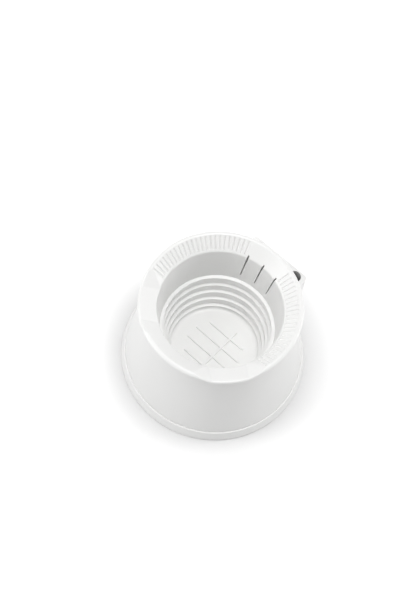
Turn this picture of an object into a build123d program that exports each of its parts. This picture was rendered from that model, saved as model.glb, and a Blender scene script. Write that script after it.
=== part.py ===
"""Brush washer: a flared casing with a brush holder, a stepped wash cup, a fluted splash collar
and a lid that is stored under the foot.  Millimetres, +Z up, the brush holder towards +Y, and the
origin on the table under the washer's axis."""

from build123d import *
import math
import os

os.makedirs("parts", exist_ok=True)

# ---------------------------------------------------------------- fits
FIT = 0.2           # gap between pieces that drop into each other
LIFT_GAP = 0.4      # gap round the lid inside the foot
LID_GAP = 0.3       # gap between the lid's skirt and the lip it goes over

# ---------------------------------------------------------------- rim
RIM_R = 57.0        # outer radius of the rounded lip
LIP_R = 1.2         # radius of the lip's bead
RIM_W = 13.1        # from the lip's outside to the opening
LIP_SEAT = 1.1      # from the band to the middle of the lip's bead
BAND_RISE = 5.4     # how much the band climbs from the mouth to the lip
BAND_T = 1.7        # thickness of the band
LIP_RISE = 1.6      # of the lip above the band
MOUTH_EDGE_W = 1.4  # rounded edge between the mouth and the band
MOUTH_EDGE_H = 0.7
MOUTH_EDGE_BULGE = 0.4
SLEEVE_H = 30.7     # mouth down to the first step
SLEEVE_DRAFT = 2.9  # how much narrower the sleeve is at its lower end
SLEEVE_T = 1.5
SKIRT_T = 0.9       # the collar's skirt round the neck
SKIRT_H = 6.8

# ---------------------------------------------------------------- wash cup
STEP_COUNT = 5
STEP_H = 8.4        # height of one step
STEP_IN = 1.55      # how far each step goes in
LEDGE_IN = 2.0      # how far the ledge under the sleeve goes in
LEDGE_DROP = 0.7
FIRST_H = 9.6       # from the ledge's nose down to the next one
TREAD_DROP = 0.6    # how much each other tread slopes down
NOSE_OUT = 0.75     # how far each nose stands out over the riser below it
NOSE_H = 0.9
SEAT_SHOWN = 0.4    # part of the first step that the sleeve leaves bare
LAST_RISER = 4.3    # last tread down to the floor
FLOOR_ROUND = 2.6
CUP_T = 1.8
CUP_FLOOR_T = 2.0
CUP_FLARE = 3.4     # how far the cup's wall stands off the sleeve at its top
CUP_LIFT = 4.8      # space between the stored lid and the cup's floor
FLANGE_T = 1.4
FLANGE_GAP = 1.2    # space between the flange and the band above it
NOSE_ROUND = 0.3
FLOOR_RIB_W = 1.5
FLOOR_RIB_H = 1.2
FLOOR_RIB_PITCH = 9.8
FLOOR_RIB_SHIFT = 4.2
FLOOR_RIB_R = 21.5  # the ribs end on this circle
CROSS_RIB_X = 3.7

# ---------------------------------------------------------------- flutes, rests and slits
FLUTE_COUNT = 23
FLUTE_START = 20.0  # degrees either side of the holder
FLUTE_PITCH = 3.8
FLUTE_R = 0.8       # radius of one groove
FLUTE_DEPTH = 0.6
FLUTE_MARGIN = 0.3  # plain strip left at each end of a groove
REST_ANGLE = 131.5  # degrees from the holder to a brush rest
REST_FLAT = 12.5    # half width of a rest's floor
REST_SIDE = 26.0    # slope of each side, degrees
REST_DEPTH = 2.6    # below the top of the lip
REST_FALL = 5.4     # how much the floor drops from the lip to the mouth
REST_T = 1.5        # thickness under a rest
SLIT_ANGLE = 16.3
SLIT_W = 1.2
SLIT_FOOT_W = 0.7
SLIT_LEAN = 5.5     # degrees
SLIT_H = 25.0

# ---------------------------------------------------------------- casing and foot
SHELL_T = 2.0
LIP_OVERHANG = 2.8  # of the lip over the neck
NECK_DROP = 8.1     # from the top of the lip down to the neck
WAIST_IN = 0.6      # how far the flare is hollowed between neck and foot
FOOT_H = 8.8
FOOT_LEDGE = 0.8    # the step where the casing stands in the foot
FOOT_FLARE = 2.2
FLARE_ROOM = 1.4    # room for the flare between the casing and the upstand
FOOT_FLOOR = 2.0
UPSTAND_T = 1.4
STORE_T = 1.8       # ring that the lid is stored on
STORE_CLEAR = 1.0   # its height above the lid's plate
WEB_T = 1.4
WEB_GAP = 1.0       # from the lid's skirt up to the web

# ---------------------------------------------------------------- brush holder
HOLDER_DROP = 23.0  # from the top of the lip down to the rack
HOLDER_HALF_W = 24.2
SPLAY_ANGLE = 10.0  # degrees
HOLDER_ROUND = 2.0
HOLDER_T = 1.1
FOOT_BACK_T = 1.0
RACK_T = 2.0
RACK_RIM_T = 1.0    # the two tabs that hold the rack inside the block
RACK_RIM_H = 4.0
HOLE_R = 4.5
HOLE_PITCH = 17.3
HOLE_EDGE = 1.2     # wall between a hole and the holder's back
HOLE_ROUND = 0.3

# ---------------------------------------------------------------- lid
LID_T = 2.0
LID_WALL = 1.6
LID_SKIRT_H = 8.0
LID_RECESS = 0.6
LID_RECESS_EDGE = 8.9
TAB_OUT = 1.2
TAB_ANGLE = 16.0
TAB_T = 1.6
PLUG_H = 12.0
PLUG_T = 1.8
PLUG_IN = 0.9       # plug wall inside the mouth
SEAL_H = 2.0
SEAL_DEPTH = 0.8
SEAL_PROUD = 0.7
SEAL_TOP = 1.0      # plug left beyond the seal

# ---------------------------------------------------------------- places that follow from these
FLOOR_Z = LID_T + CUP_LIFT + CUP_FLOOR_T
LEDGE_Z = FLOOR_Z + LAST_RISER + LEDGE_DROP + FIRST_H + (STEP_COUNT - 2) * STEP_H
MOUTH_R = RIM_R - RIM_W
MOUTH_Z = LEDGE_Z + SLEEVE_H
SLEEVE_FOOT_R = MOUTH_R - SLEEVE_DRAFT
LEDGE_R = SLEEVE_FOOT_R - SEAT_SHOWN
BAND_IN_R = MOUTH_R + MOUTH_EDGE_W
BAND_OUT_R = RIM_R - LIP_R - LIP_SEAT
BAND_W = BAND_OUT_R - BAND_IN_R
BAND_IN_Z = MOUTH_Z + MOUTH_EDGE_H
MOUTH_EDGE_Z = MOUTH_Z + 0.8 * MOUTH_EDGE_H
BAND_OUT_Z = BAND_IN_Z + BAND_RISE
RIM_Z = BAND_OUT_Z + LIP_RISE
BAND_SLOPE = BAND_RISE / BAND_W
BAND_DROP = BAND_T * math.hypot(1, BAND_SLOPE)

NECK_R = RIM_R - LIP_OVERHANG
NECK_Z = RIM_Z - NECK_DROP
FLANGE_R = NECK_R - FIT
SKIRT_Z = RIM_Z - LIP_R - SKIRT_H

LID_R = RIM_R + LID_GAP + LID_WALL
UPSTAND_IN_R = LID_R + TAB_OUT + LIFT_GAP
UPSTAND_OUT_R = UPSTAND_IN_R + UPSTAND_T
SHELL_FOOT_R = UPSTAND_OUT_R + FLARE_ROOM + SHELL_T
FOOT_TOP_R = SHELL_FOOT_R + FIT + FOOT_LEDGE
BASE_R = FOOT_TOP_R + FOOT_FLARE
WEB_Z = LID_T + LID_SKIRT_H + WEB_GAP
WAIST_R = (NECK_R + SHELL_FOOT_R) / 2 - WAIST_IN
WAIST_Z = (NECK_Z + FOOT_H) / 2

RACK_Z = RIM_Z - HOLDER_DROP
RACK_BED_Z = RACK_Z - RACK_T
HOLDER_FACE_Y = BASE_R - FOOT_BACK_T - FIT
HOLDER_ROOT_Y = MOUTH_R
HOLE_Y = HOLDER_FACE_Y - HOLE_EDGE - HOLE_R

LID_RECESS_R = LID_R - LID_RECESS_EDGE
PLUG_R = MOUTH_R - PLUG_IN
OVERRUN = 1.0       # how far a cutter goes past the surface that it opens


def band_underside(radius):
    """Height of the fluted band's underside at a radius."""
    return BAND_IN_Z + BAND_SLOPE * (radius - BAND_IN_R) - BAND_DROP


def casing_section(grow, run=0.0):
    """Half-section of the flared casing filled to its axis, its surface moved out by grow and
    its ends by run."""
    neck = (NECK_R + grow, NECK_Z)
    waist = (WAIST_R + grow, WAIST_Z)
    foot = (SHELL_FOOT_R + grow, FOOT_H)
    top = [(neck[0], NECK_Z + run)] if run else []
    with BuildSketch(Plane.XZ) as section:
        with BuildLine():
            ThreePointArc(foot, waist, neck)
            Polyline(neck, *top, (0, NECK_Z + run), (0, FOOT_FLOOR - run),
                     (foot[0], FOOT_FLOOR - run), foot)
        make_face()
    return section.sketch


def holder_plan(grow, level):
    """Plan of the brush holder block at a level, its sides and back moved out by grow."""
    spread = (HOLDER_FACE_Y - HOLDER_ROOT_Y) * math.tan(math.radians(SPLAY_ANGLE))
    face_y = HOLDER_FACE_Y + grow
    face_x = HOLDER_HALF_W + grow
    root_x = HOLDER_HALF_W + spread + grow
    with BuildSketch(Plane.XY.offset(level)) as plan:
        with BuildLine():
            Polyline((face_x, face_y), (-face_x, face_y), (-root_x, HOLDER_ROOT_Y),
                     (root_x, HOLDER_ROOT_Y), close=True)
        make_face()
        fillet(plan.vertices().group_by(Axis.Y)[-1], max(HOLDER_ROUND + grow, 0.2))
    return plan.sketch


def make_outer_shell():
    """The flared casing with the hollow block that holds the brushes."""
    with BuildPart() as shell:
        revolve(casing_section(0), axis=Axis.Z)
        extrude(holder_plan(0, FOOT_FLOOR), amount=RACK_BED_Z - FOOT_FLOOR)
        revolve(casing_section(-SHELL_T, OVERRUN), axis=Axis.Z, mode=Mode.SUBTRACT)
        extrude(holder_plan(-HOLDER_T, FOOT_FLOOR - OVERRUN),
                amount=RACK_BED_Z - FOOT_FLOOR + OVERRUN, mode=Mode.SUBTRACT)
    return shell.part


def make_foot_ring():
    """The foot band with the channel for the casing and the ring for the stored lid."""
    with BuildPart() as foot:
        with BuildSketch(Plane.XZ):
            with BuildLine():
                Polyline((UPSTAND_IN_R, 0), (BASE_R, 0), (FOOT_TOP_R, FOOT_H),
                         (UPSTAND_OUT_R, FOOT_H), (UPSTAND_OUT_R, WEB_Z + WEB_T),
                         (RIM_R - STORE_T, WEB_Z + WEB_T), (RIM_R - STORE_T, LID_T + STORE_CLEAR),
                         (RIM_R, LID_T + STORE_CLEAR), (RIM_R, WEB_Z), (UPSTAND_IN_R, WEB_Z),
                         close=True)
            make_face()
        revolve(axis=Axis.Z)
        with BuildSketch():
            add(holder_plan(FIT + FOOT_BACK_T, 0))
            Circle(UPSTAND_IN_R, mode=Mode.SUBTRACT)
        extrude(amount=FOOT_H)
        with BuildSketch(Plane.XY.offset(FOOT_FLOOR)):
            Circle(SHELL_FOOT_R + FIT)
            add(holder_plan(FIT, FOOT_FLOOR))
            Circle(UPSTAND_OUT_R, mode=Mode.SUBTRACT)
        extrude(amount=FOOT_H, mode=Mode.SUBTRACT)
    return foot.part


def make_brush_rack():
    """The plate with three holes that closes the holder block, with a tab at each side."""
    rim_out = -(HOLDER_T + FIT)
    with BuildPart() as rack:
        extrude(holder_plan(0, RACK_BED_Z), amount=RACK_T)
        top = rack.faces().sort_by(Axis.Z)[-1]
        fillet(top.edges().filter_by(lambda edge: edge.center().Y > NECK_R), HOLE_ROUND)
        with BuildSketch(Plane.XY.offset(RACK_BED_Z - RACK_RIM_H)):
            add(holder_plan(rim_out, RACK_BED_Z - RACK_RIM_H))
            Rectangle(2 * (HOLDER_HALF_W + rim_out - RACK_RIM_T), 2 * BASE_R, mode=Mode.SUBTRACT)
            add(holder_plan(rim_out - RACK_RIM_T, RACK_BED_Z - RACK_RIM_H), mode=Mode.SUBTRACT)
        extrude(amount=RACK_RIM_H)
        revolve(casing_section(FIT, OVERRUN), axis=Axis.Z, mode=Mode.SUBTRACT)
        with Locations(*[(side * HOLE_PITCH, HOLE_Y, RACK_Z) for side in (-1, 0, 1)]):
            Hole(HOLE_R, depth=RACK_T)
        rims = rack.edges().filter_by(GeomType.CIRCLE).group_by(Axis.Z)[-1]
        chamfer(rims.filter_by(lambda edge: edge.radius == HOLE_R), HOLE_ROUND)
    return rack.part


def cup_noses():
    """The inward corner of every step from the top down, as (radius, height)."""
    ledge_nose = (LEDGE_R - LEDGE_IN, LEDGE_Z - LEDGE_DROP)
    second_z = ledge_nose[1] - FIRST_H
    return [ledge_nose] + [(LEDGE_R - (step + 2) * STEP_IN, second_z - step * STEP_H)
                           for step in range(STEP_COUNT - 1)]


def cup_inner_steps():
    """The stepped inside wall from the first ledge down to the floor, as (radius, height)."""
    noses = cup_noses()
    points = [(LEDGE_R, LEDGE_Z), noses[0]]
    for (nose_r, nose_z), (next_r, next_z) in zip(noses, noses[1:]):
        tread_r = next_r + STEP_IN + NOSE_OUT
        points += [(nose_r + NOSE_OUT, nose_z - NOSE_H), (tread_r, next_z + TREAD_DROP)]
        points += [(next_r, next_z)]
    return points + [(noses[-1][0] + NOSE_OUT, noses[-1][1] - NOSE_H)]


def make_wash_cup():
    """The watertight stepped bucket, hung by its flange from the casing's neck."""
    steps = cup_inner_steps()
    noses = cup_noses()
    wall_foot_r = SLEEVE_FOOT_R + SLEEVE_T + FIT
    outside = [(wall_foot_r + CUP_T, LEDGE_Z - CUP_T), (LEDGE_R + CUP_T, LEDGE_Z - CUP_T)]
    for next_r, next_z in noses[1:]:
        outside += [(next_r + STEP_IN + CUP_T, next_z + TREAD_DROP - CUP_T)]
        outside += [(next_r + CUP_T, next_z - CUP_T)]
    wall_top_r = MOUTH_R + SLEEVE_T + FIT + CUP_FLARE
    flange_top = NECK_Z + FLANGE_T
    knee_r = BAND_IN_R + (flange_top + FLANGE_GAP + BAND_DROP - BAND_IN_Z) / BAND_SLOPE
    wall_top_z = band_underside(wall_top_r) - FLANGE_GAP
    floor_r = noses[-1][0]
    with BuildPart() as cup:
        with BuildSketch(Plane.XZ) as section:
            with BuildLine():
                Polyline((0, FLOOR_Z), (floor_r, FLOOR_Z), *reversed(steps),
                         (wall_foot_r, LEDGE_Z), (wall_top_r, wall_top_z),
                         (knee_r, flange_top), (FLANGE_R, flange_top), (FLANGE_R, NECK_Z),
                         (knee_r - FLANGE_T * BAND_SLOPE, NECK_Z),
                         (wall_top_r + CUP_T, wall_top_z - FLANGE_T + CUP_T * BAND_SLOPE),
                         *outside,
                         (floor_r + CUP_T, FLOOR_Z - CUP_FLOOR_T + CUP_T),
                         (floor_r, FLOOR_Z - CUP_FLOOR_T), (0, FLOOR_Z - CUP_FLOOR_T),
                         close=True)
            make_face()
            corner = section.vertices().sort_by_distance((floor_r, FLOOR_Z, 0))[0]
            fillet(corner, FLOOR_ROUND)
            for radius, height in steps[1:]:
                corner = section.vertices().sort_by_distance((radius, height, 0))[0]
                fillet(corner, NOSE_ROUND)
        revolve(axis=Axis.Z)
        with BuildSketch(Plane.XY.offset(FLOOR_Z - OVERRUN)):
            with Locations(*[(0, FLOOR_RIB_SHIFT + row * FLOOR_RIB_PITCH) for row in (-2, -1, 0, 1)]):
                Rectangle(2 * FLOOR_RIB_R, FLOOR_RIB_W)
            with Locations((CROSS_RIB_X, 0)):
                Rectangle(FLOOR_RIB_W, 2 * FLOOR_RIB_R)
            Circle(FLOOR_RIB_R, mode=Mode.INTERSECT)
        extrude(amount=FLOOR_RIB_H + OVERRUN)
    return cup.part


def rest_cutter(lower):
    """Wedge-sided trough of a brush rest, pointing along +X and moved down by lower."""
    fall = math.atan2(REST_FALL, RIM_R - MOUTH_R)
    start_r = RIM_R + 3 * OVERRUN
    start_z = RIM_Z - REST_DEPTH + (start_r - RIM_R) * math.tan(fall) - lower
    trough = Plane(origin=(start_r, 0, start_z), x_dir=(0, -1, 0),
                   z_dir=(-math.cos(fall), 0, -math.sin(fall)))
    rise = 2 * REST_DEPTH + REST_T
    run = rise / math.tan(math.radians(REST_SIDE))
    with BuildPart() as cutter:
        with BuildSketch(trough):
            with BuildLine():
                Polyline((-REST_FLAT, 0), (REST_FLAT, 0), (REST_FLAT + run, rise),
                         (-REST_FLAT - run, rise), close=True)
            make_face()
        extrude(amount=start_r - MOUTH_R + 3 * OVERRUN)
    return cutter.part


def flute_cutter():
    """One groove of the band, pointing along +X."""
    slope = math.atan(BAND_SLOPE)
    lift = FLUTE_R - FLUTE_DEPTH
    start = (BAND_IN_R + FLUTE_MARGIN - lift * math.sin(slope), 0,
             BAND_IN_Z + FLUTE_MARGIN * BAND_SLOPE + lift * math.cos(slope))
    along = Plane(origin=start, x_dir=(0, 1, 0), z_dir=(math.cos(slope), 0, math.sin(slope)))
    length = (BAND_W - 2 * FLUTE_MARGIN) / math.cos(slope)
    with BuildPart() as cutter:
        with BuildSketch(along):
            Circle(FLUTE_R)
        extrude(amount=length)
    return cutter.part


def slit_cutter():
    """One leaning slit through the sleeve, narrower at its foot, pointing along +X."""
    top = Plane(origin=(SLEEVE_FOOT_R, 0, MOUTH_Z)).rotated((SLIT_LEAN, 0, 0)).offset(2 * OVERRUN)
    depth = SLEEVE_DRAFT + SLEEVE_T + 1.3 * OVERRUN
    with BuildPart() as cutter:
        for level, width in ((0, SLIT_W), (-SLIT_H - 2 * OVERRUN, SLIT_FOOT_W)):
            with BuildSketch(top.offset(level)):
                with Locations((-OVERRUN, 0)):
                    Rectangle(depth, width, align=(Align.MIN, Align.CENTER))
        loft()
    return cutter.part


def rest_pads(sides):
    """Material under the rests, which keeps the band's thickness there."""
    skirt_in = NECK_R + FIT
    skirt_out = skirt_in + SKIRT_T
    sleeve_out = MOUTH_R + SLEEVE_T
    sink = REST_T - BAND_T / 4
    lip_z = RIM_Z - LIP_R
    trough = rest_cutter(REST_T)
    with BuildPart() as pads:
        with BuildSketch(Plane.XZ):
            with BuildLine():
                Polyline((sleeve_out, band_underside(sleeve_out) - sink),
                         (skirt_in, band_underside(skirt_in) - sink),
                         (skirt_out, lip_z - LIP_R - REST_DEPTH), (RIM_R, lip_z - REST_DEPTH),
                         (RIM_R, lip_z), (RIM_R - LIP_R, lip_z),
                         (BAND_OUT_R, BAND_OUT_Z - BAND_T / 2),
                         (BAND_IN_R, BAND_IN_Z - BAND_T / 2), close=True)
            make_face()
        revolve(axis=Axis.Z)
        with Locations(*sides):
            add(trough, mode=Mode.INTERSECT)
    return pads.part


def make_splash_collar():
    """The rim: lip, fluted band, skirt and sleeve, with the brush rests and wiping slits."""
    skirt_in = NECK_R + FIT
    skirt_out = skirt_in + SKIRT_T
    sleeve_out = MOUTH_R + SLEEVE_T
    lip = (RIM_R - LIP_R, RIM_Z - LIP_R)
    sides = [Location((0, 0, 0), (0, 0, 90 + side * REST_ANGLE)) for side in (-1, 1)]
    sweep = (FLUTE_COUNT - 1) * FLUTE_PITCH
    pads = rest_pads(sides)
    rest = rest_cutter(0)
    flute = flute_cutter()
    slit = slit_cutter()
    with BuildPart() as collar:
        with BuildSketch(Plane.XZ):
            with BuildLine():
                Polyline((MOUTH_R, MOUTH_Z), (SLEEVE_FOOT_R, LEDGE_Z),
                         (SLEEVE_FOOT_R + SLEEVE_T, LEDGE_Z),
                         (sleeve_out, band_underside(sleeve_out)),
                         (skirt_in, band_underside(skirt_in)), (skirt_in, SKIRT_Z),
                         (skirt_out, SKIRT_Z), (skirt_out, lip[1] - LIP_R / 2),
                         (BAND_OUT_R, BAND_OUT_Z), (BAND_IN_R, BAND_IN_Z))
                ThreePointArc((BAND_IN_R, BAND_IN_Z),
                              (MOUTH_R + MOUTH_EDGE_BULGE, MOUTH_EDGE_Z), (MOUTH_R, MOUTH_Z))
            make_face()
            with Locations(lip):
                Circle(LIP_R)
        revolve(axis=Axis.Z)
        add(pads)
        with Locations(*sides):
            add(rest, mode=Mode.SUBTRACT)
        for start in (90 + FLUTE_START, 90 - FLUTE_START - sweep):
            with PolarLocations(0, FLUTE_COUNT, start, sweep, endpoint=True):
                add(flute, mode=Mode.SUBTRACT)
        with PolarLocations(0, 3, 90 - SLIT_ANGLE, 2 * SLIT_ANGLE, endpoint=True):
            add(slit, mode=Mode.SUBTRACT)
    return collar.part


def make_lid():
    """The lid as stored, its open side up round the foot's storage ring."""
    groove_top = LID_T + PLUG_H - SEAL_TOP
    groove_foot = groove_top - SEAL_H
    with BuildPart() as lid:
        with BuildSketch(Plane.XZ):
            with BuildLine():
                Polyline((0, LID_RECESS), (LID_RECESS_R, LID_RECESS), (LID_RECESS_R + LID_RECESS, 0),
                         (LID_R - LID_RECESS, 0), (LID_R, LID_RECESS), (LID_R, LID_T + LID_SKIRT_H),
                         (LID_R - LID_WALL, LID_T + LID_SKIRT_H), (LID_R - LID_WALL, LID_T),
                         (PLUG_R, LID_T), (PLUG_R, groove_foot), (PLUG_R - SEAL_DEPTH, groove_foot),
                         (PLUG_R - SEAL_DEPTH, groove_top), (PLUG_R, groove_top),
                         (PLUG_R, LID_T + PLUG_H), (PLUG_R - PLUG_T, LID_T + PLUG_H),
                         (PLUG_R - PLUG_T, LID_T), (0, LID_T), close=True)
            make_face()
        revolve(axis=Axis.Z)
        tab_plane = Plane.XZ.rotated((0, 0, -90 - TAB_ANGLE / 2))
        with BuildSketch(tab_plane):
            with Locations((LID_R - OVERRUN, LID_T + LID_SKIRT_H)):
                Rectangle(TAB_OUT + OVERRUN, TAB_T, align=(Align.MIN, Align.MAX))
        revolve(axis=Axis.Z, revolution_arc=TAB_ANGLE)
    return lid.part


def make_lid_seal():
    """The soft ring in the plug's groove."""
    foot_z = LID_T + PLUG_H - SEAL_TOP - SEAL_H
    root_r = PLUG_R - SEAL_DEPTH
    with BuildPart() as seal:
        with BuildSketch(Plane.XZ):
            with BuildLine():
                Polyline((PLUG_R, foot_z), (root_r, foot_z), (root_r, foot_z + SEAL_H),
                         (PLUG_R, foot_z + SEAL_H))
                ThreePointArc((PLUG_R, foot_z + SEAL_H), (PLUG_R + SEAL_PROUD, foot_z + SEAL_H / 2),
                              (PLUG_R, foot_z))
            make_face()
        revolve(axis=Axis.Z)
    return seal.part


pieces = {
    "outer_shell": make_outer_shell(),
    "foot_ring": make_foot_ring(),
    "brush_rack": make_brush_rack(),
    "wash_cup": make_wash_cup(),
    "splash_collar": make_splash_collar(),
    "lid": make_lid(),
    "lid_seal": make_lid_seal(),
}

for name, piece in pieces.items():
    piece.label = name
    export_step(piece, f"parts/{name}.step")
    print(f"{name}: {len(piece.solids())} solid, {piece.volume:.0f} mm3")
print(f"foot radius {BASE_R:.1f}, rim top {RIM_Z:.1f}, mouth {MOUTH_Z:.1f}, ledge {LEDGE_Z:.1f}")
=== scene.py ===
# %% [markdown]
# # A brush washer, dressed over its CAD frame
# The washer is a flared white casing on a foot band, a stepped cup hung inside it, and a fluted
# splash rim that drops into the cup.  A plate with three holes closes the brush holder at the
# back, and the lid is stored under the foot.  The frame is loaded first, because every piece
# that follows takes its place from it and rides on one of its bodies.

# %% Load the frame
import math

import bpy
from mathutils import Matrix, Vector


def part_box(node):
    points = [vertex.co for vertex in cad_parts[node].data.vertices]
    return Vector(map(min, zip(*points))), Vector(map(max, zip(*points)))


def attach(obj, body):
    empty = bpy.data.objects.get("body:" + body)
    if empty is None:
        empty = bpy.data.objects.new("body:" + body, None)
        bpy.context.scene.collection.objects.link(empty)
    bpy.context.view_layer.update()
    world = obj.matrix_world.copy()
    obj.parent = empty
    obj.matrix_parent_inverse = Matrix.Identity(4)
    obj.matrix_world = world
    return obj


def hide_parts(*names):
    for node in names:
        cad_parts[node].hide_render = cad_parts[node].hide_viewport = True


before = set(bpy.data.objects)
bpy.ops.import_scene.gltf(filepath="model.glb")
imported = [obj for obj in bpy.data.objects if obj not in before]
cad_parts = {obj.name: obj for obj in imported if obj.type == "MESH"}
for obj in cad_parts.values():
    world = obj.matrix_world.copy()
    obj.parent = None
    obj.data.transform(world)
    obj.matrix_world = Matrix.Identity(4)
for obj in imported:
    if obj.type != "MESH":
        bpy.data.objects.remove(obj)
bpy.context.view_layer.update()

# %% [markdown]
# ## Sizes
# All lengths are in millimetres and become metres only where Blender gets them.  The outer
# sizes are read from the frame, so that the dressed pieces can't grow past it.

# %% Sizes read from the frame
MM = 0.001


def top_of(node):
    """Highest level of a CAD node, in millimetres."""
    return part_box(node)[1][2] / MM


def reach_of(node, axis=0):
    """How far a CAD node reaches along an axis, in millimetres."""
    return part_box(node)[1][axis] / MM


RIM_R = reach_of("splash_collar")
RIM_Z = top_of("splash_collar")
LEDGE_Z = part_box("splash_collar")[0][2] / MM
NECK_Z = top_of("outer_shell")
RACK_Z = top_of("brush_rack")
BASE_R = reach_of("foot_ring")
HOLDER_Y = reach_of("outer_shell", 1)
SHELL_FOOT_R = reach_of("outer_shell")
LID_R = reach_of("lid")
print(f"rim {RIM_R:.1f} wide and {RIM_Z:.1f} high, foot {BASE_R:.1f}, lid {LID_R:.1f}")

# %% [markdown]
# ## Modelling helpers
# Nearly every piece is a turned form: an outline of half its section, taken about the washer's
# axis.  The Spin operator could do it too, but it grows slow past a few hundred steps, and the
# flutes need many.  A Screw modifier with no rise gives the same faces at once and is applied.
# Corners are rounded in the outline, because a moulded edge never ends in a knife.

# %% Helpers for turned pieces
SEAM_WELD = 0.001 * MM


def only(piece):
    """Makes a piece the active one and the only one selected."""
    bpy.ops.object.select_all(action="DESELECT")
    piece.select_set(True)
    bpy.context.view_layer.objects.active = piece


def rounded(corners, parts=3):
    """Outline through (radius, height, reach) corners, each rounded from reach before it to
    reach behind it."""
    points = []
    count = len(corners)
    for place, (radius, height, reach) in enumerate(corners):
        corner = Vector((radius, height))
        if not reach:
            points.append(corner)
            continue
        before = Vector(corners[place - 1][:2])
        after = Vector(corners[(place + 1) % count][:2])
        start = corner + (before - corner).normalized() * reach
        end = corner + (after - corner).normalized() * reach
        for part in range(parts + 1):
            share = part / parts
            points.append(start.lerp(corner, share).lerp(corner.lerp(end, share), share))
    return points


def turned(name, outline, steps, closed=True):
    """Turns an outline of (radius, height) points once round the Z axis.  One that starts and
    ends on the axis isn't closed, because its two poles already are."""
    bpy.ops.object.select_all(action="DESELECT")
    bpy.ops.mesh.primitive_plane_add(size=MM)
    piece = bpy.context.object
    piece.name = piece.data.name = name
    bpy.ops.object.mode_set(mode="EDIT")
    bpy.ops.mesh.merge(type="COLLAPSE")
    bpy.ops.transform.translate(value=(outline[0][0] * MM, 0, outline[0][1] * MM))
    for start, end in zip(outline, outline[1:]):
        move = ((end[0] - start[0]) * MM, 0, (end[1] - start[1]) * MM)
        bpy.ops.mesh.extrude_region_move(TRANSFORM_OT_translate={"value": move})
    bpy.ops.object.mode_set(mode="OBJECT")
    if closed:
        ends = [Vector((outline[place][0], 0, outline[place][1])) * MM for place in (0, -1)]
        for vertex in piece.data.vertices:
            vertex.select = min((vertex.co - end).length for end in ends) < SEAM_WELD
        bpy.ops.object.mode_set(mode="EDIT")
        bpy.ops.mesh.edge_face_add()
        bpy.ops.object.mode_set(mode="OBJECT")
    turn = piece.modifiers.new("turn", "SCREW")
    turn.steps = turn.render_steps = steps
    turn.use_merge_vertices = True
    turn.merge_threshold = SEAM_WELD
    bpy.ops.object.modifier_apply(modifier=turn.name)
    bpy.ops.object.mode_set(mode="EDIT")
    bpy.ops.mesh.select_all(action="SELECT")
    bpy.ops.mesh.remove_doubles(threshold=SEAM_WELD)
    bpy.ops.mesh.normals_make_consistent(inside=False)
    bpy.ops.object.mode_set(mode="OBJECT")
    return piece


# %% [markdown]
# A boolean cuts or joins closed meshes.  A bevel rounds chosen edges, which are found by their
# place, since their numbers change with every edit.  Each boolean leaves a few points almost on
# top of each other, so they are welded last of all.  Then the shading is made smooth, but not
# across a real corner, and weighted so that flat faces stay flat beside a small rounding.

# %% Helpers for cutting, rounding and finishing
CUT_WELD = 0.005 * MM


def cut(piece, tool, operation="DIFFERENCE"):
    """Applies a boolean of one mesh on another and deletes the tool."""
    only(piece)
    modifier = piece.modifiers.new("cut", "BOOLEAN")
    modifier.operation = operation
    modifier.solver = "EXACT"
    modifier.object = tool
    bpy.ops.object.modifier_apply(modifier=modifier.name)
    bpy.data.objects.remove(tool)


def bevel_edges(piece, wanted, width, parts):
    """Rounds the edges whose two ends, in millimetres, pass the wanted test."""
    only(piece)
    bpy.ops.object.mode_set(mode="EDIT")
    bpy.ops.mesh.select_mode(type="EDGE")
    bpy.ops.mesh.select_all(action="DESELECT")
    bpy.ops.object.mode_set(mode="OBJECT")
    for edge in piece.data.edges:
        start, end = (piece.data.vertices[index].co / MM for index in edge.vertices)
        edge.select = wanted(start, end)
    bpy.ops.object.mode_set(mode="EDIT")
    bpy.ops.mesh.bevel(offset=width * MM, segments=parts)
    bpy.ops.mesh.select_mode(type="VERT")
    bpy.ops.object.mode_set(mode="OBJECT")


def joined(pieces):
    """Joins separate meshes into the first of them."""
    bpy.ops.object.select_all(action="DESELECT")
    for piece in pieces:
        piece.select_set(True)
    bpy.context.view_layer.objects.active = pieces[0]
    bpy.ops.object.join()
    return pieces[0]


def place(piece):
    """Applies a piece's own place, turn and size to its mesh."""
    only(piece)
    bpy.ops.object.transform_apply(location=True, rotation=True, scale=True)


def smooth(piece, degrees=35):
    """Welds what the cuts left, then smooths with sharp corners kept and flat faces left flat."""
    only(piece)
    bpy.ops.object.mode_set(mode="EDIT")
    bpy.ops.mesh.select_all(action="SELECT")
    bpy.ops.mesh.remove_doubles(threshold=CUT_WELD)
    bpy.ops.mesh.dissolve_degenerate(threshold=CUT_WELD)
    bpy.ops.object.mode_set(mode="OBJECT")
    bpy.ops.object.shade_smooth_by_angle(angle=math.radians(degrees))
    bpy.ops.object.modifier_add(type="WEIGHTED_NORMAL")
    weighted = piece.modifiers[-1]
    weighted.keep_sharp = True
    bpy.ops.object.modifier_apply(modifier=weighted.name)
    print(f"{piece.name}: {len(piece.data.polygons)} faces")


# %% [markdown]
# ## The splash rim
# The rim is one moulding: a rounded lip, a sloping band with fine radial flutes, a sleeve that
# reaches down to the cup's first ledge, and a skirt that goes round the casing's neck.  The lip
# is a soft edge, so it is an arc that leaves the band without a corner and ends on the widest
# line of the rim.  The arc's size follows from where the band ends.

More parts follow.
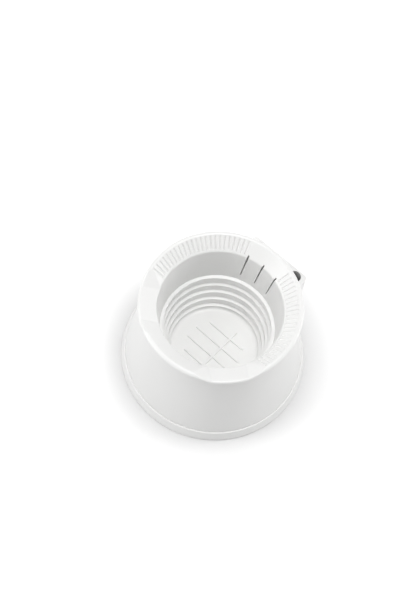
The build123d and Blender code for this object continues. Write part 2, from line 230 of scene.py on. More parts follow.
# %% The rim's outline
BAND_IN = (45.3, 80.0)
BAND_OUT = (53.4, 86.2)
BAND_STEPS = 14
BAND_T = 1.9
LIP_STEPS = 14
LIP_GAP = 0.1
LIP_FOOT_Z = RIM_Z - 2.9
LIP_FOOT_ROUND = 0.25
MOUTH_ROUND = 0.9
SLEEVE_TOP_R = 43.9
SLEEVE_FOOT_R = 41.0
SLEEVE_T = 1.5
SLEEVE_OUT_R = SLEEVE_TOP_R + SLEEVE_T
UNDER_BAND_R = (50.0, 47.5, SLEEVE_OUT_R)
SKIRT_IN_R = 54.4
SKIRT_OUT_R = 55.3
SKIRT_Z = 79.0
SKIRT_ROOT_ROUND = 0.2
SKIRT_ROUND = 0.3
RIM_STEPS = 1440
band_slope = (BAND_OUT[1] - BAND_IN[1]) / (BAND_OUT[0] - BAND_IN[0])
band_tilt = math.atan(band_slope)
lip_round = (RIM_R - BAND_OUT[0]) / (1 + math.sin(band_tilt))
lip_r = RIM_R - lip_round
lip_z = BAND_OUT[1] - lip_round * math.cos(band_tilt)
print(f"lip rounding {lip_round:.2f}, its middle at {lip_r:.2f} and {lip_z:.2f}")


def along_band(radius):
    """Height of the plain band at a radius."""
    return BAND_IN[1] + band_slope * (radius - BAND_IN[0])


def rim_outline():
    """Half-section of the rim, from the sleeve's foot up over the lip and back."""
    mouth = (SLEEVE_TOP_R, along_band(SLEEVE_TOP_R), MOUTH_ROUND)
    points = rounded([(SLEEVE_FOOT_R, LEDGE_Z, 0), mouth, (*BAND_OUT, 0)], 5)[:-1]
    for step in range(BAND_STEPS + 1):
        radius = BAND_IN[0] + (BAND_OUT[0] - BAND_IN[0] - LIP_GAP) * step / BAND_STEPS
        points.append(Vector((radius, along_band(radius))))
    for step in range(LIP_STEPS):
        turn = (math.pi / 2 + band_tilt) * (1 - step / LIP_STEPS)
        points.append(Vector((lip_r + lip_round * math.cos(turn),
                              lip_z + lip_round * math.sin(turn))))
    points += rounded([(RIM_R, lip_z + LIP_GAP, 0), (RIM_R, LIP_FOOT_Z, LIP_FOOT_ROUND),
                       (SKIRT_OUT_R, LIP_FOOT_Z, SKIRT_ROOT_ROUND),
                       (SKIRT_OUT_R, SKIRT_Z, SKIRT_ROUND), (SKIRT_IN_R, SKIRT_Z, SKIRT_ROUND),
                       (SKIRT_IN_R, along_band(SKIRT_IN_R) - BAND_T, 0)], 4)[1:]
    for radius in UNDER_BAND_R:
        points.append(Vector((radius, along_band(radius) - BAND_T)))
    points.append(Vector((SLEEVE_FOOT_R + SLEEVE_T, LEDGE_Z)))
    return points


rim = turned("splash_rim", rim_outline(), RIM_STEPS)
print(f"splash rim spun in {RIM_STEPS} steps")

# %% [markdown]
# Fine flutes run down the band, with a plain stretch at the back and in front.  Two shallow
# rests cross the lip in front, where a brush lies without rolling.  Both are soft forms with no
# crisp edge, so they are pushed into the finely spun mesh, vertex by vertex.  Cutting them with
# booleans would leave hard lines.

# %% Push the flutes and the two brush rests into the rim
FLUTE_COUNT = 23
FLUTE_START = 20.0
FLUTE_PITCH = 3.8
FLUTE_DEPTH = 1.0
FLUTE_HALF_W = 0.75
FLUTE_FADE = 0.5
REST_ANGLE = 131.5
REST_FLAT = 12.5
REST_SIDE = math.tan(math.radians(26))
REST_Z = RIM_Z - 2.6
REST_FALL = 5.4 / (RIM_R - SLEEVE_TOP_R)
REST_T = 1.5
REST_NEAR = math.cos(math.radians(38))
SOFTNESS = 0.3
BESIDE = 0.1
SHAPED_FROM_Z = BAND_IN[1] - 4
SKIRT_UP_TO_Z = RIM_Z - 3.3
TOP_SKIN = 1


def soft_min(first, second):
    """The lower of two heights, with the corner between them rounded off."""
    gap = max(SOFTNESS - abs(first - second), 0) / SOFTNESS
    return min(first, second) - gap * gap * SOFTNESS / 4


def rest_level(x, y):
    """Height of the nearer brush rest's floor and sides over a point."""
    side = math.radians(REST_ANGLE) * (1 if x > 0 else -1)
    along = x * math.sin(side) + y * math.cos(side)
    across = abs(x * math.cos(side) - y * math.sin(side))
    if along < math.hypot(x, y) * REST_NEAR:
        return RIM_Z + 1
    floor = REST_Z - (RIM_R - along) * REST_FALL
    return floor + max(across - REST_FLAT, 0) * REST_SIDE


def flute_depth(x, y, radius):
    """How deep the flutes are at a point of the band."""
    turn = abs(math.degrees(math.atan2(x, y)))
    number = round((turn - FLUTE_START) / FLUTE_PITCH)
    if not 0 <= number < FLUTE_COUNT:
        return 0
    across = math.radians(turn - FLUTE_START - number * FLUTE_PITCH) * radius
    fade = min((radius - BAND_IN[0]) / FLUTE_FADE, (BAND_OUT[0] - radius) / FLUTE_FADE, 1)
    return FLUTE_DEPTH * fade * max(1 - (across / FLUTE_HALF_W) ** 2, 0)


def top_level(radius):
    """Height of the rim's upper side at a radius, before anything is pushed in."""
    if radius > BAND_OUT[0]:
        return lip_z + math.sqrt(lip_round ** 2 - min(radius - lip_r, 0) ** 2)
    return along_band(radius)


def shape_rim(piece):
    """Lowers the vertices under the flutes and the rests; the skirt and sleeve stay."""
    for vertex in piece.data.vertices:
        x, y, z = vertex.co / MM
        radius = math.hypot(x, y)
        on_skirt = SKIRT_IN_R - BESIDE < radius < SKIRT_OUT_R + BESIDE and z < SKIRT_UP_TO_Z
        if z < SHAPED_FROM_Z or on_skirt:
            continue
        level = rest_level(x, y)
        top = top_level(radius)
        if radius > SKIRT_OUT_R - BESIDE:
            z -= top - soft_min(top, level)
        elif top - z < TOP_SKIN:
            if BAND_IN[0] < radius < BAND_OUT[0]:
                z -= flute_depth(x, y, radius)
            z = soft_min(z, level)
        elif radius > SLEEVE_OUT_R - BESIDE:
            z = soft_min(z, level - REST_T)
        vertex.co.z = z * MM


shape_rim(rim)
print(f"{2 * FLUTE_COUNT} flutes, {FLUTE_PITCH} degrees apart")

# %% [markdown]
# Each wiping slit is a thin leaning cut right through the sleeve, narrower at its foot.  Its
# edges are crisp on the real moulding, so here a boolean is the right tool.

# %% Cut the wiping slits
SLIT_ANGLE = 16.3
SLIT_W = 1.2
SLIT_FOOT_W = 0.7
SLIT_H = 25.0
SLIT_OVER = 2.0
SLIT_LEAN = 5.5
SLIT_IN_R = SLEEVE_FOOT_R - 1
SLIT_DEPTH = SLEEVE_T + 4.2
BACK = 90
MOUTH_Z = 79.3


def bar(name, centre, size):
    """A box of a size in millimetres whose own centre is at a place."""
    bpy.ops.object.select_all(action="DESELECT")
    bpy.ops.mesh.primitive_cube_add(size=1, location=[length * MM for length in centre])
    piece = bpy.context.object
    piece.name = name
    piece.scale = [length * MM for length in size]
    place(piece)
    return piece


def turn_about_axis(piece, degrees):
    """Turns a piece's mesh about the washer's axis."""
    piece.data.transform(Matrix.Rotation(math.radians(degrees), 4, "Z"))


def slit_tool(turn):
    """The cutter of one leaning slit, narrower at its foot."""
    slit = bar("slit", (0, 0, 0), (SLIT_DEPTH, SLIT_W, SLIT_H + SLIT_OVER))
    for vertex in slit.data.vertices:
        if vertex.co.z < 0:
            vertex.co.y *= SLIT_FOOT_W / SLIT_W
    middle = Vector((SLIT_IN_R + SLIT_DEPTH / 2, 0, (SLIT_OVER - SLIT_H) / 2)) * MM
    slit.data.transform(Matrix.Translation(middle))
    slit.data.transform(Matrix.Rotation(math.radians(SLIT_LEAN), 4, "X"))
    slit.data.transform(Matrix.Translation(Vector((0, 0, MOUTH_Z)) * MM))
    turn_about_axis(slit, BACK + turn)
    return slit


cut(rim, joined([slit_tool(turn) for turn in (-SLIT_ANGLE, 0, SLIT_ANGLE)]))
smooth(rim, degrees=30)

# %% [markdown]
# ## The wash cup
# The cup is a bucket with ring-shaped steps inside, on which bristles are worked clean.  Each
# tread ends in a rounded nose that stands out a little over the riser below it.  The treads
# catch the light and the hollows under the noses stay dark, which reads as a stack of rings.
# The cup is spun in one go from a single outline.

# %% Spin the cup
STEP_COUNT = 5
STEP_H = 8.4
STEP_IN = 1.55
LEDGE_IN = 2.0
LEDGE_DROP = 0.7
FIRST_H = 9.6
TREAD_DROP = 0.6
NOSE_OUT = 0.75
NOSE_H = 0.9
NOSE_ROUND = 0.3
CORNER_ROUND = 0.5
FLOOR_Z = 8.8
CUP_T = 1.8
CUP_STEPS = 288
LEDGE_R = 40.6
FLOOR_T = 2
FLOOR_ROUND = 2.2
FLOOR_EDGE_ROUND = 0.5
SLEEVE_SEAT_R = SLEEVE_FOOT_R + SLEEVE_T + 0.2
SEAT_ROUND = 0.2
WALL_TOP_R = 49.0
WALL_TOP_Z = along_band(WALL_TOP_R) - BAND_T - 1.2
WALL_TOP_ROUND = 0.4
WALL_UNDER_DROP = 0.9
WALL_UNDER_ROUND = 0.5
FLANGE_R = 54.0
FLANGE_T = 1.4
FLANGE_ROOT_R = 51.9
FLANGE_UNDER_R = 51.4
FLANGE_ROUND = 0.3


def cup_outline():
    """Half-section of the cup, from the floor's middle up inside, and down outside."""
    second_z = LEDGE_Z - LEDGE_DROP - FIRST_H
    noses = [(LEDGE_R - LEDGE_IN, LEDGE_Z - LEDGE_DROP)]
    for step in range(STEP_COUNT - 1):
        noses.append((LEDGE_R - (step + 2) * STEP_IN, second_z - step * STEP_H))
    foot_r = noses[-1][0]
    corners = [(0, FLOOR_Z, 0), (foot_r, FLOOR_Z, FLOOR_ROUND)]
    for nose_r, nose_z in reversed(noses[1:]):
        corners.append((nose_r + NOSE_OUT, nose_z - NOSE_H, CORNER_ROUND))
        corners.append((nose_r, nose_z, NOSE_ROUND))
        corners.append((nose_r + STEP_IN + NOSE_OUT, nose_z + TREAD_DROP, CORNER_ROUND))
    corners.append((noses[0][0] + NOSE_OUT, noses[0][1] - NOSE_H, CORNER_ROUND))
    corners += [(*noses[0], NOSE_ROUND), (LEDGE_R, LEDGE_Z, CORNER_ROUND)]
    corners += [(SLEEVE_SEAT_R, LEDGE_Z, SEAT_ROUND), (WALL_TOP_R, WALL_TOP_Z, WALL_TOP_ROUND),
                (FLANGE_ROOT_R, NECK_Z + FLANGE_T, FLANGE_ROUND),
                (FLANGE_R, NECK_Z + FLANGE_T, FLANGE_ROUND), (FLANGE_R, NECK_Z, FLANGE_ROUND),
                (FLANGE_UNDER_R, NECK_Z, 0),
                (WALL_TOP_R + CUP_T, WALL_TOP_Z - WALL_UNDER_DROP, WALL_UNDER_ROUND),
                (SLEEVE_SEAT_R + CUP_T, LEDGE_Z - CUP_T, 0),
                (LEDGE_R + CUP_T, LEDGE_Z - CUP_T, 0)]
    for nose_r, nose_z in noses[1:]:
        corners.append((nose_r + STEP_IN + CUP_T, nose_z + TREAD_DROP - CUP_T, 0))
        corners.append((nose_r + CUP_T, nose_z - CUP_T, 0))
    corners += [(foot_r + CUP_T, FLOOR_Z - 0.2, 0), (foot_r, FLOOR_Z - FLOOR_T, FLOOR_EDGE_ROUND),
                (0, FLOOR_Z - FLOOR_T, 0)]
    return rounded(corners, 4)


cup = turned("wash_cup_body", cup_outline(), CUP_STEPS, closed=False)
print(f"cup with {STEP_COUNT} treads spun in {CUP_STEPS} steps")

# %% [markdown]
# Low ribs stand on the cup's floor: four one way and one across them.  Each is a bar as long as
# a circle inside the wall allows, with its upper edges rounded.  The bars are joined first, so
# that they grow out of the floor as one form.

# %% Add the floor ribs
RIB_W = 1.5
RIB_H = 1.2
RIB_R = 21.5
RIB_PITCH = 9.8
RIB_SHIFT = 4.2
RIB_ROWS = (-2, -1, 0, 1)
RIB_ROUND = 0.45
CROSS_RIB_X = 3.7


def floor_rib(offset, across):
    """One rib as long as the circle that bounds the ribs allows."""
    half = math.sqrt(RIB_R ** 2 - offset ** 2)
    rib = bar("rib", (0, 0, FLOOR_Z), (2 * half, RIB_W, 2 * RIB_H))
    bevel_edges(rib, lambda start, end: min(start.z, end.z) > FLOOR_Z, RIB_ROUND, 3)
    if across:
        turn_about_axis(rib, 90)
        rib.data.transform(Matrix.Translation((offset * MM, 0, 0)))
    else:
        rib.data.transform(Matrix.Translation((0, offset * MM, 0)))
    return rib


cross_rib = floor_rib(CROSS_RIB_X, True)
for row in RIB_ROWS:
    cut(cross_rib, floor_rib(RIB_SHIFT + row * RIB_PITCH, False), "UNION")
cut(cup, cross_rib, "UNION")
smooth(cup)

# %% [markdown]
# ## The casing
# The casing flares in a slow curve from the neck to the foot.  At the back a hollow block grows
# out of it and holds the brushes.  A wall could be given to a single skin, but then the block's
# thinner wall would need its own.  So outside and inside are made as closed forms, and the
# inner ones are taken from the outer ones, which leaves the walls.

# %% Spin the casing and join the holder block
NECK_R = RIM_R - 2.8
SHELL_T = 2.0
WAIST_IN = 0.6
FLARE_STEPS = 24
FOOT_H = 8.8
FOOT_FLOOR = 2.0
HOLDER_HALF_W = 24.2
HOLDER_SPLAY = math.tan(math.radians(10))
HOLDER_ROOT_Y = 43.9
HOLDER_T = 1.1
HOLDER_ROUND = 2.0
HOLLOW_ROUND = 0.5
RACK_BED_Z = RACK_Z - 2
CASING_STEPS = 288
OVERCUT = 1


def flare(height):
    """Radius of the casing at a height, on a circle's arc through neck, waist and foot."""
    share = (height - FOOT_H) / (NECK_Z - FOOT_H)
    straight = SHELL_FOOT_R + (NECK_R - SHELL_FOOT_R) * share
    return straight - 4 * WAIST_IN * share * (1 - share)


def casing_outline(grow, run):
    """Filled half-section of the casing, its surface moved out by grow and ends by run."""
    points = [(0, FOOT_FLOOR - run), (SHELL_FOOT_R + grow, FOOT_FLOOR - run)]
    for part in range(FLARE_STEPS + 1):
        height = FOOT_H + (NECK_Z - FOOT_H) * part / FLARE_STEPS
        points.append((flare(height) + grow, height))
    if run:
        points.append((NECK_R + grow, NECK_Z + run))
    points.append((0, NECK_Z + run))
    return points


def holder_block(name, grow, low, high, corner):
    """The block that holds the brushes: a box pushed to its plan, back edges rounded."""
    face_y = HOLDER_Y + grow
    face_x = HOLDER_HALF_W + grow
    root_x = face_x + (HOLDER_Y - HOLDER_ROOT_Y) * HOLDER_SPLAY
    block = bar(name, (0, (face_y + HOLDER_ROOT_Y) / 2, (low + high) / 2),
                (2 * face_x, face_y - HOLDER_ROOT_Y, high - low))
    for vertex in block.data.vertices:
        if vertex.co.y < (face_y - 1) * MM:
            vertex.co.x = math.copysign(root_x * MM, vertex.co.x)

    def back_upright(start, end):
        return abs(start.z - end.z) > 1 and min(start.y, end.y) > face_y - 1

    bevel_edges(block, back_upright, corner, 6)
    return block


casing = turned("casing", casing_outline(0, 0), CASING_STEPS, closed=False)
cut(casing, holder_block("block", 0, FOOT_FLOOR, RACK_BED_Z, HOLDER_ROUND), "UNION")
hollow = turned("hollow", casing_outline(-SHELL_T, OVERCUT), CASING_STEPS, closed=False)
cut(casing, holder_block("block", -HOLDER_T, FOOT_FLOOR - OVERCUT, RACK_BED_Z + OVERCUT,
                         HOLLOW_ROUND))
cut(casing, hollow)
smooth(casing, degrees=30)

# %% [markdown]
# ## The foot band
# The casing stands in a channel of a separate foot.  Its outer band flares to the table, with a
# well rounded bottom edge, and its rounded top edge shows as a bright line.  Under the washer a
# web carries the ring on which the lid snaps.  The section is spun, the back is added for the
# holder block, and the channel is cut last, round the ring and round the back.  The channel
# stops just outside the upstand, since a cut that runs along a face leaves a loose sheet.

# %% Spin the foot and add its back
FOOT_TOP_R = SHELL_FOOT_R + 1.0
FOOT_TOP_ROUND = 0.5
FOOT_ROUND = 1.7
FOOT_CORNER_R = BASE_R + 0.34
SMALL_ROUND = 0.3
SEAM = 0.03
UPSTAND_IN_R = 60.5
UPSTAND_OUT_R = 61.9
CHANNEL_IN_R = UPSTAND_OUT_R + 0.1
STORE_IN_R = RIM_R - 1.8
STORE_Z = 3.0
WEB_Z = 11.0
WEB_T = 1.4
BACK_OUT = 1.2
BACK_IN_R = UPSTAND_IN_R + 1
BACK_ROUND = 3.2
BACK_CHANNEL_IN_R = UPSTAND_OUT_R + 1
BACK_CHANNEL_Z = FOOT_FLOOR - 0.05
BACK_CHANNEL_ROUND = 2.2
FOOT_STEPS = 288


def foot_outline():
    """Section of the foot: band, upstand, web and storage ring, without the channel."""
    corners = [(UPSTAND_IN_R, 0, SMALL_ROUND), (FOOT_CORNER_R, 0, FOOT_ROUND),
               (FOOT_TOP_R, FOOT_H, FOOT_TOP_ROUND), (UPSTAND_OUT_R, FOOT_H, 0),
               (UPSTAND_OUT_R, WEB_Z + WEB_T, SMALL_ROUND),
               (STORE_IN_R, WEB_Z + WEB_T, SMALL_ROUND), (STORE_IN_R, STORE_Z, SMALL_ROUND),
               (RIM_R, STORE_Z, SMALL_ROUND), (RIM_R, WEB_Z, 0), (UPSTAND_IN_R, WEB_Z, 0)]
    return rounded(corners, 5)


def core(radius, low, high):
    """A plain round cutter from the axis out to a radius, between two levels."""
    outline = [(0, low), (radius, low), (radius, high), (0, high)]
    return turned("core", outline, FOOT_STEPS, closed=False)


foot = turned("foot_band", foot_outline(), FOOT_STEPS)
back = holder_block("back", BACK_OUT, 0, FOOT_H, BACK_ROUND)
cut(back, core(BACK_IN_R, -OVERCUT, FOOT_H + OVERCUT))
cut(foot, back, "UNION")
channel = turned("channel", [(CHANNEL_IN_R, FOOT_FLOOR), (SHELL_FOOT_R + SEAM, FOOT_FLOOR),
                             (SHELL_FOOT_R + SEAM, FOOT_H + OVERCUT),
                             (CHANNEL_IN_R, FOOT_H + OVERCUT)], FOOT_STEPS)
cut(foot, channel)
back_channel = holder_block("back_channel", SEAM, BACK_CHANNEL_Z, FOOT_H + 1.5 * OVERCUT,
                            BACK_CHANNEL_ROUND)
cut(back_channel, core(BACK_CHANNEL_IN_R, BACK_CHANNEL_Z - OVERCUT, FOOT_H + 2 * OVERCUT))
cut(foot, back_channel)
smooth(foot, degrees=30)

# %% [markdown]
# ## The brush rack
# A thin plate closes the holder block.  Three holes in it take brush handles.  Under it two low
# strips drop inside the block's side walls and keep it in place.  They are what is left of a
# smaller block whose middle is taken out.  The side towards the casing is cut to the casing's
# own flare, so that the plate meets it in a clean line.

# %% Make the rack's plate
HOLE_R = 4.5
HOLE_PITCH = 17.3
HOLE_Y = HOLDER_Y - 1.2 - HOLE_R
HOLE_DEPTH = 12
RACK_RIM_H = 4.0
RACK_RIM_Z = RACK_BED_Z - RACK_RIM_H
RACK_RIM_IN = 1.3
RACK_RIM_ROUND = 0.6
RIM_VOID_IN = 2.3
RIM_VOID_ROUND = 0.3
RIM_GAP_LONG = 60
RIM_GAP_HIGH = 20
CASING_GAP = 0.2

rack = holder_block("rack_plate", 0, RACK_BED_Z, RACK_Z, HOLDER_ROUND)
rack_rim = holder_block("rack_rim", -RACK_RIM_IN, RACK_RIM_Z, RACK_BED_Z, RACK_RIM_ROUND)
cut(rack_rim, holder_block("rim_void", -RIM_VOID_IN, RACK_RIM_Z - OVERCUT, RACK_BED_Z + OVERCUT,
                           RIM_VOID_ROUND))
cut(rack_rim, bar("rim_gap", (0, HOLDER_Y, RACK_BED_Z),
                  (2 * (HOLDER_HALF_W - RIM_VOID_IN), RIM_GAP_LONG, RIM_GAP_HIGH)))
cut(rack, rack_rim, "UNION")
cut(rack, turned("cone", casing_outline(CASING_GAP, OVERCUT), CASING_STEPS, closed=False))
for side in (-1, 0, 1):
    middle = Vector((side * HOLE_PITCH, HOLE_Y, RACK_Z)) * MM
    bpy.ops.mesh.primitive_cylinder_add(vertices=64, radius=HOLE_R * MM, depth=HOLE_DEPTH * MM,
                                        location=middle)
    hole = bpy.context.object
    place(hole)
    cut(rack, hole)
smooth(rack, degrees=30)

# %% [markdown]
# ## The lid and its seal
# The lid is stored under the washer with its open side up.  It is a flat dish with a short
# skirt, a thumb tab, and a plug ring with a groove for a soft seal.  The dish is spun in one go.
# The tab is a ring spun on its own, cut down to a short arc and joined on.

# %% Spin the lid
LID_T = 2.0
LID_SKIRT_H = 8.0
LID_SKIRT_T = 1.6
LID_FACE_R = 50.0
LID_FACE_Z = 0.6
LID_EDGE_R = 50.6
LID_ROUND = 0.7
BRIM_ROUND = 0.4
ROOT_ROUND = 0.5
PLUG_R = 43.0
PLUG_T = 1.8
PLUG_Z = 14.0
SEAL_Z = 10.5
SEAL_H = 2
SEAL_IN = 0.8
TAB_OUT = 1.2
TAB_LOW = 8.4
TAB_HIGH = 10.0
TAB_SIDES = (97, 263)
TAB_LIMIT = (200, 100, 40)
LID_STEPS = 288


def lid_outline():
    """Half-section of the lid as stored, open side up."""
    top = LID_T + LID_SKIRT_H
    corners = [(0, LID_FACE_Z, 0), (LID_FACE_R, LID_FACE_Z, 0.3), (LID_EDGE_R, 0, 0.2),
               (LID_R, 0, LID_ROUND), (LID_R, top, BRIM_ROUND),
               (LID_R - LID_SKIRT_T, top, BRIM_ROUND), (LID_R - LID_SKIRT_T, LID_T, ROOT_ROUND),
               (PLUG_R, LID_T, ROOT_ROUND), (PLUG_R, SEAL_Z, 0), (PLUG_R - SEAL_IN, SEAL_Z, 0),
               (PLUG_R - SEAL_IN, SEAL_Z + SEAL_H, 0), (PLUG_R, SEAL_Z + SEAL_H, 0),
               (PLUG_R, PLUG_Z, BRIM_ROUND), (PLUG_R - PLUG_T, PLUG_Z, BRIM_ROUND),
               (PLUG_R - PLUG_T, LID_T, ROOT_ROUND), (0, LID_T, 0)]
    return rounded(corners, 3)


lid = turned("lid_dish", lid_outline(), LID_STEPS, closed=False)
tab = turned("tab", [(LID_R - 1, TAB_LOW), (LID_R + TAB_OUT, TAB_LOW),
                     (LID_R + TAB_OUT, TAB_HIGH), (LID_R - 1, TAB_HIGH)], LID_STEPS)
for turn in TAB_SIDES:
    limit = bar("limit", (0, 0, 0), TAB_LIMIT)
    limit.data.transform(Matrix.Translation((0, TAB_LIMIT[1] / 2 * MM, 0)))
    turn_about_axis(limit, turn - BACK)
    cut(tab, limit)
cut(lid, tab, "UNION")
smooth(lid, degrees=30)

# %% [markdown]
# The seal is a band of silicone in the plug's groove.  It bulges out of the groove in half an
# ellipse, which is the part that is squeezed when the lid is pressed into the cup.

# %% Spin the seal
SEAL_OUT = 0.7
SEAL_PARTS = 8

seal_points = [(PLUG_R - SEAL_IN, SEAL_Z), (PLUG_R - SEAL_IN, SEAL_Z + SEAL_H)]
for part in range(SEAL_PARTS + 1):
    turn = math.pi * part / SEAL_PARTS
    seal_points.append((PLUG_R + SEAL_OUT * math.sin(turn), SEAL_Z + 1 + math.cos(turn)))
seal = turned("seal_ring", seal_points, LID_STEPS)
smooth(seal, degrees=40)

# %% [markdown]
# ## Materials
# The washer is injection-moulded polypropylene in an opaque white, and its seal is silicone.
# All are made by one function, because they differ only in their white, their gloss and their
# grain.  The white drifts a little over some 45 mm, where the wall is thicker or the melt was
# cooler, which keeps a large plain surface from looking like paper.  A real mould's grain is
# finer than 0.1 mm and wouldn't show, so it is drawn as coarse as it needs to be seen.  It
# shifts the gloss and gives a very low bump.

# %% Helpers for materials


def linear(code):
    """sRGB hex text to a linear colour."""
    channels = [int(code[place:place + 2], 16) / 255 for place in (1, 3, 5)]
    return [c / 12.92 if c <= 0.04045 else ((c + 0.055) / 1.055) ** 2.4 for c in channels] + [1]


def node(tree, kind, settings=None, links=None, **values):
    """Adds a node, sets its properties and sockets, and links its inputs."""
    made = tree.nodes.new(kind)
    for name, value in (settings or {}).items():
        setattr(made, name, value)
    for name, value in values.items():
        made.inputs[name.replace("_", " ")].default_value = value
    for name, source in (links or {}).items():
        tree.links.new(source, made.inputs[name])
    return made


DRIFT_SIZE = 0.045
GLOSS_SWING = 0.06
GRAIN_STRENGTH = 0.25
POLYMER_IOR = 1.49


def moulded(name, light, shade, roughness, grain_mm, grain_depth):
    """Opaque moulded plastic: a slow drift of colour, and a grain in its gloss and relief."""
    material = bpy.data.materials.new(name)
    material.use_nodes = True
    tree = material.node_tree
    shader = tree.nodes["Principled BSDF"]
    place_on = node(tree, "ShaderNodeTexCoord").outputs["Object"]
    drift = node(tree, "ShaderNodeTexNoise", links={"Vector": place_on},
                 Scale=1 / DRIFT_SIZE, Detail=2.0)
    tint = node(tree, "ShaderNodeMix", {"data_type": "RGBA"}, {"Factor": drift.outputs["Fac"]})
    tint.inputs["A"].default_value = linear(shade)
    tint.inputs["B"].default_value = linear(light)
    tree.links.new(tint.outputs["Result"], shader.inputs["Base Color"])
    grain = node(tree, "ShaderNodeTexNoise", links={"Vector": place_on},
                 Scale=1 / (grain_mm * MM), Detail=3.0)
    gloss = node(tree, "ShaderNodeMapRange", links={"Value": grain.outputs["Fac"]})
    gloss.inputs["To Min"].default_value = roughness - GLOSS_SWING
    gloss.inputs["To Max"].default_value = roughness + GLOSS_SWING
    tree.links.new(gloss.outputs["Result"], shader.inputs["Roughness"])
    bump = node(tree, "ShaderNodeBump", links={"Height": grain.outputs["Fac"]},
                Strength=GRAIN_STRENGTH, Distance=grain_depth * MM)
    tree.links.new(bump.outputs["Normal"], shader.inputs["Normal"])
    shader.inputs["IOR"].default_value = POLYMER_IOR
    return material


# %% [markdown]
# The casing, foot, rack and lid come from a lightly textured mould: a satin white that spreads
# its highlights wide.  The rim and the cup come from polished ones, so they show a softer but
# clearer gloss along the lip and the treads.  The cup's white is lightened above the others as
# painted light, standing in for the light that fills its inside.  The rim's white is a shade
# greyer as painted shade, which keeps its lit band from going to white.  The seal's silicone is
# cooler and more matt.

# %% White polypropylene in three finishes, and the silicone of the seal
casing_white = moulded("satin_white_polypropylene", "#EAEAE9", "#E6E6E5", 0.42, 0.9, 0.04)
# Painted shade: the rim's white is a shade greyer than the casing's, so its lit band doesn't go
# to white.
rim_white_painted_shade = moulded("semi_gloss_white_polypropylene", "#E9E9E8", "#E5E5E4", 0.3, 1.6, 0.03)
# Painted light: the cup's white is lightened above the rest, standing in for the light that fills
# the cup's inside.
cup_white_painted_light = moulded("semi_gloss_white_polypropylene_painted_light", "#F5F5F4", "#F1F1F0", 0.3, 1.6, 0.03)
seal_white = moulded("soft_white_silicone", "#E4E6E6", "#DADCDC", 0.55, 0.7, 0.04)

# %% [markdown]
# ## Who rides on what
# Each dressed piece replaces its plain CAD node, which is hidden, takes its material, and moves
# with that node's body.  So the collar and the cup lift out on their own, and the lid takes its
# seal with it.

# %% Dress the frame
DRESS = [
    (rim, "splash_collar", "collar", "cup_plastic", rim_white_painted_shade),
    (cup, "wash_cup", "cup", "cup_plastic", cup_white_painted_light),
    (casing, "outer_shell", "casing", "casing_plastic", casing_white),
    (foot, "foot_ring", "casing", "casing_plastic", casing_white),
    (rack, "brush_rack", "casing", "casing_plastic", casing_white),
    (lid, "lid", "storage_lid", "casing_plastic", casing_white),
    (seal, "lid_seal", "storage_lid", "seal_rubber", seal_white),
]
for piece, cad_node, body, slot, material in DRESS:
    piece.data.materials.clear()
    piece.data.materials.append(material)
    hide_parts(cad_node)
    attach(piece, body)
print(f"{len(DRESS)} pieces dressed")

# %% [markdown]
# ## Stage, light and camera
# A studio shot of a white thing on white needs a background that is white by itself, since more
# light would bleach the washer.  The world is 1 for the rays that go straight to the eye or by
# way of a reflection, and dimmer for the light that falls on the washer.  The floor is a pale
# grey that takes the real shadow, and it glows up to white as it goes away from the foot.  Since
# the glow starts at nothing by the foot, the floor there stays darker: painted shade round the
# foot, on top of the real soft shadow.

# %% Floor and world
FLOOR_SIZE_M = 12
FADE_FROM = 67 * MM
FADE_TO = 155 * MM
WORLD_LEVEL = 0.5


def seen_directly(tree):
    """1 for the rays of the camera and of its mirror images, 0 for the light on the washer."""
    path = node(tree, "ShaderNodeLightPath")
    mirrored = node(tree, "ShaderNodeMath", {"operation": "MAXIMUM"})
    tree.links.new(path.outputs["Is Glossy Ray"], mirrored.inputs[0])
    tree.links.new(path.outputs["Is Transmission Ray"], mirrored.inputs[1])
    either = node(tree, "ShaderNodeMath", {"operation": "MAXIMUM"})
    tree.links.new(path.outputs["Is Camera Ray"], either.inputs[0])
    tree.links.new(mirrored.outputs["Value"], either.inputs[1])
    return either.outputs["Value"]


bpy.ops.mesh.primitive_plane_add(size=FLOOR_SIZE_M)
floor = bpy.context.object
floor.name = "floor"
floor_paint = bpy.data.materials.new("pale_matt_floor")
floor_paint.use_nodes = True
tree = floor_paint.node_tree
shader = tree.nodes["Principled BSDF"]
shader.inputs["Roughness"].default_value = 0.9
shader.inputs["Specular IOR Level"].default_value = 0.1
shader.inputs["Base Color"].default_value = linear("#DEDEDE")
place_on = node(tree, "ShaderNodeTexCoord").outputs["Object"]
from_middle = node(tree, "ShaderNodeVectorMath", {"operation": "LENGTH"}, {"Vector": place_on})
# The glow rises with distance from the washer's axis, so the floor is darker near the foot:
# painted shade round the foot, added to the real shadow.
fade = node(tree, "ShaderNodeMapRange", links={"Value": from_middle.outputs["Value"]})
fade.inputs["From Min"].default_value = FADE_FROM
fade.inputs["From Max"].default_value = FADE_TO
lift = node(tree, "ShaderNodeMath", {"operation": "MULTIPLY"})
tree.links.new(seen_directly(tree), lift.inputs[0])
tree.links.new(fade.outputs["Result"], lift.inputs[1])
shader.inputs["Emission Color"].default_value = (1, 1, 1, 1)
tree.links.new(lift.outputs["Value"], shader.inputs["Emission Strength"])
floor.data.materials.append(floor_paint)

world = bpy.data.worlds.new("studio")
bpy.context.scene.world = world
world.use_nodes = True
tree = world.node_tree
sky = tree.nodes["Background"]
power = node(tree, "ShaderNodeMapRange", links={"Value": seen_directly(tree)})
power.inputs["To Min"].default_value = WORLD_LEVEL
power.inputs["To Max"].default_value = 1.0
tree.links.new(power.outputs["Result"], sky.inputs["Strength"])
sky.inputs["Color"].default_value = (1, 1, 1, 1)
print(f"world at {WORLD_LEVEL}, floor fades to white {1000 * FADE_TO:.0f} mm out")

# %% [markdown]
# Four large square lamps give soft light with soft edges to every shadow.  The key hangs
# straight above and lights the cup's floor and treads.  Two weaker ones at the left, high and
# low, model the flare and keep the inside of the sleeve from going dark.  One at the right
# behind fills the far side and brightens the right edge.

# %% Lamps
AIM = Vector((0, 0, 50)) * MM


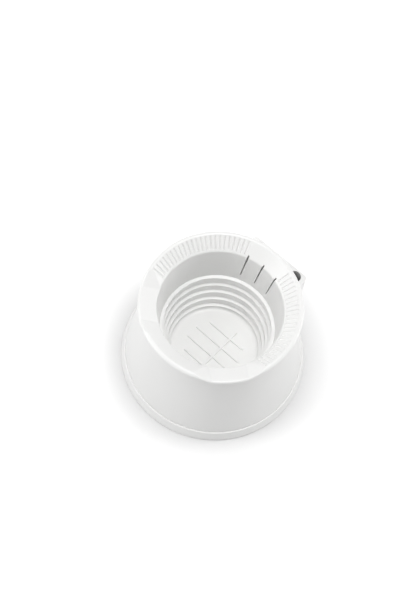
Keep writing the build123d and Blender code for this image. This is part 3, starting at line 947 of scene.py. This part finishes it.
def soft_lamp(name, place_m, size, watts):
    """A square area lamp that faces the washer."""
    lamp = bpy.data.lights.new(name, "AREA")
    lamp.shape = "SQUARE"
    lamp.size = size
    lamp.energy = watts
    holder = bpy.data.objects.new(name, lamp)
    bpy.context.collection.objects.link(holder)
    holder.location = place_m
    holder.rotation_euler = (AIM - Vector(place_m)).to_track_quat("-Z", "Y").to_euler()
    print(f"lamp {name}: {watts} W")


soft_lamp("key", (0.05, 0.05, 1.5), 0.6, 9.2)
soft_lamp("high_left", (-0.65, -0.7, 1.0), 0.6, 3.1)
soft_lamp("left", (-0.85, -0.9, 0.4), 0.5, 3.1)
soft_lamp("right", (0.85, 0.95, 0.4), 0.6, 4.9)

# %% [markdown]
# The camera looks steeply down into the cup, with a slight roll.  Turn, rise and roll aim it at
# the washer's foot, and a last small swing puts that point off the middle of the frame without
# any shift of the lens.

# %% Camera
CAMERA_TURN = math.radians(33.2)
CAMERA_RISE = math.radians(66.73)
CAMERA_ROLL = math.radians(9.91)
CAMERA_AWAY = 850 * MM
FOCAL_PX = 1133.1
FRAME_W = 401
FRAME_H = 601
SENSOR_W = 36
ORIGIN_PX = (212.77, 353.11)
away = Vector((math.sin(CAMERA_TURN) * math.cos(CAMERA_RISE),
               -math.cos(CAMERA_TURN) * math.cos(CAMERA_RISE), math.sin(CAMERA_RISE)))
right = Vector((math.cos(CAMERA_TURN), math.sin(CAMERA_TURN), 0))
up = away.cross(right)
rolled_right = right * math.cos(CAMERA_ROLL) + up * math.sin(CAMERA_ROLL)
rolled_up = up * math.cos(CAMERA_ROLL) - right * math.sin(CAMERA_ROLL)
aimed = Matrix((rolled_right, rolled_up, away)).transposed()
seen_at = Vector(((ORIGIN_PX[0] - FRAME_W / 2) / FOCAL_PX,
                  (FRAME_H / 2 - ORIGIN_PX[1]) / FOCAL_PX, -1)).normalized()
swing = Vector((0, 0, -1)).rotation_difference(seen_at).to_matrix()
lens = bpy.data.cameras.new("camera")
lens.sensor_fit = "AUTO"
lens.sensor_width = SENSOR_W
lens.lens = FOCAL_PX / FRAME_H * lens.sensor_width
camera = bpy.data.objects.new("camera", lens)
bpy.context.collection.objects.link(camera)
camera.matrix_world = Matrix.Translation(away * CAMERA_AWAY) @ (aimed @ swing.inverted()).to_4x4()
bpy.context.scene.camera = camera
bpy.context.scene.view_settings.view_transform = "Standard"
print(f"lens {lens.lens:.1f} mm, {CAMERA_AWAY} m away")
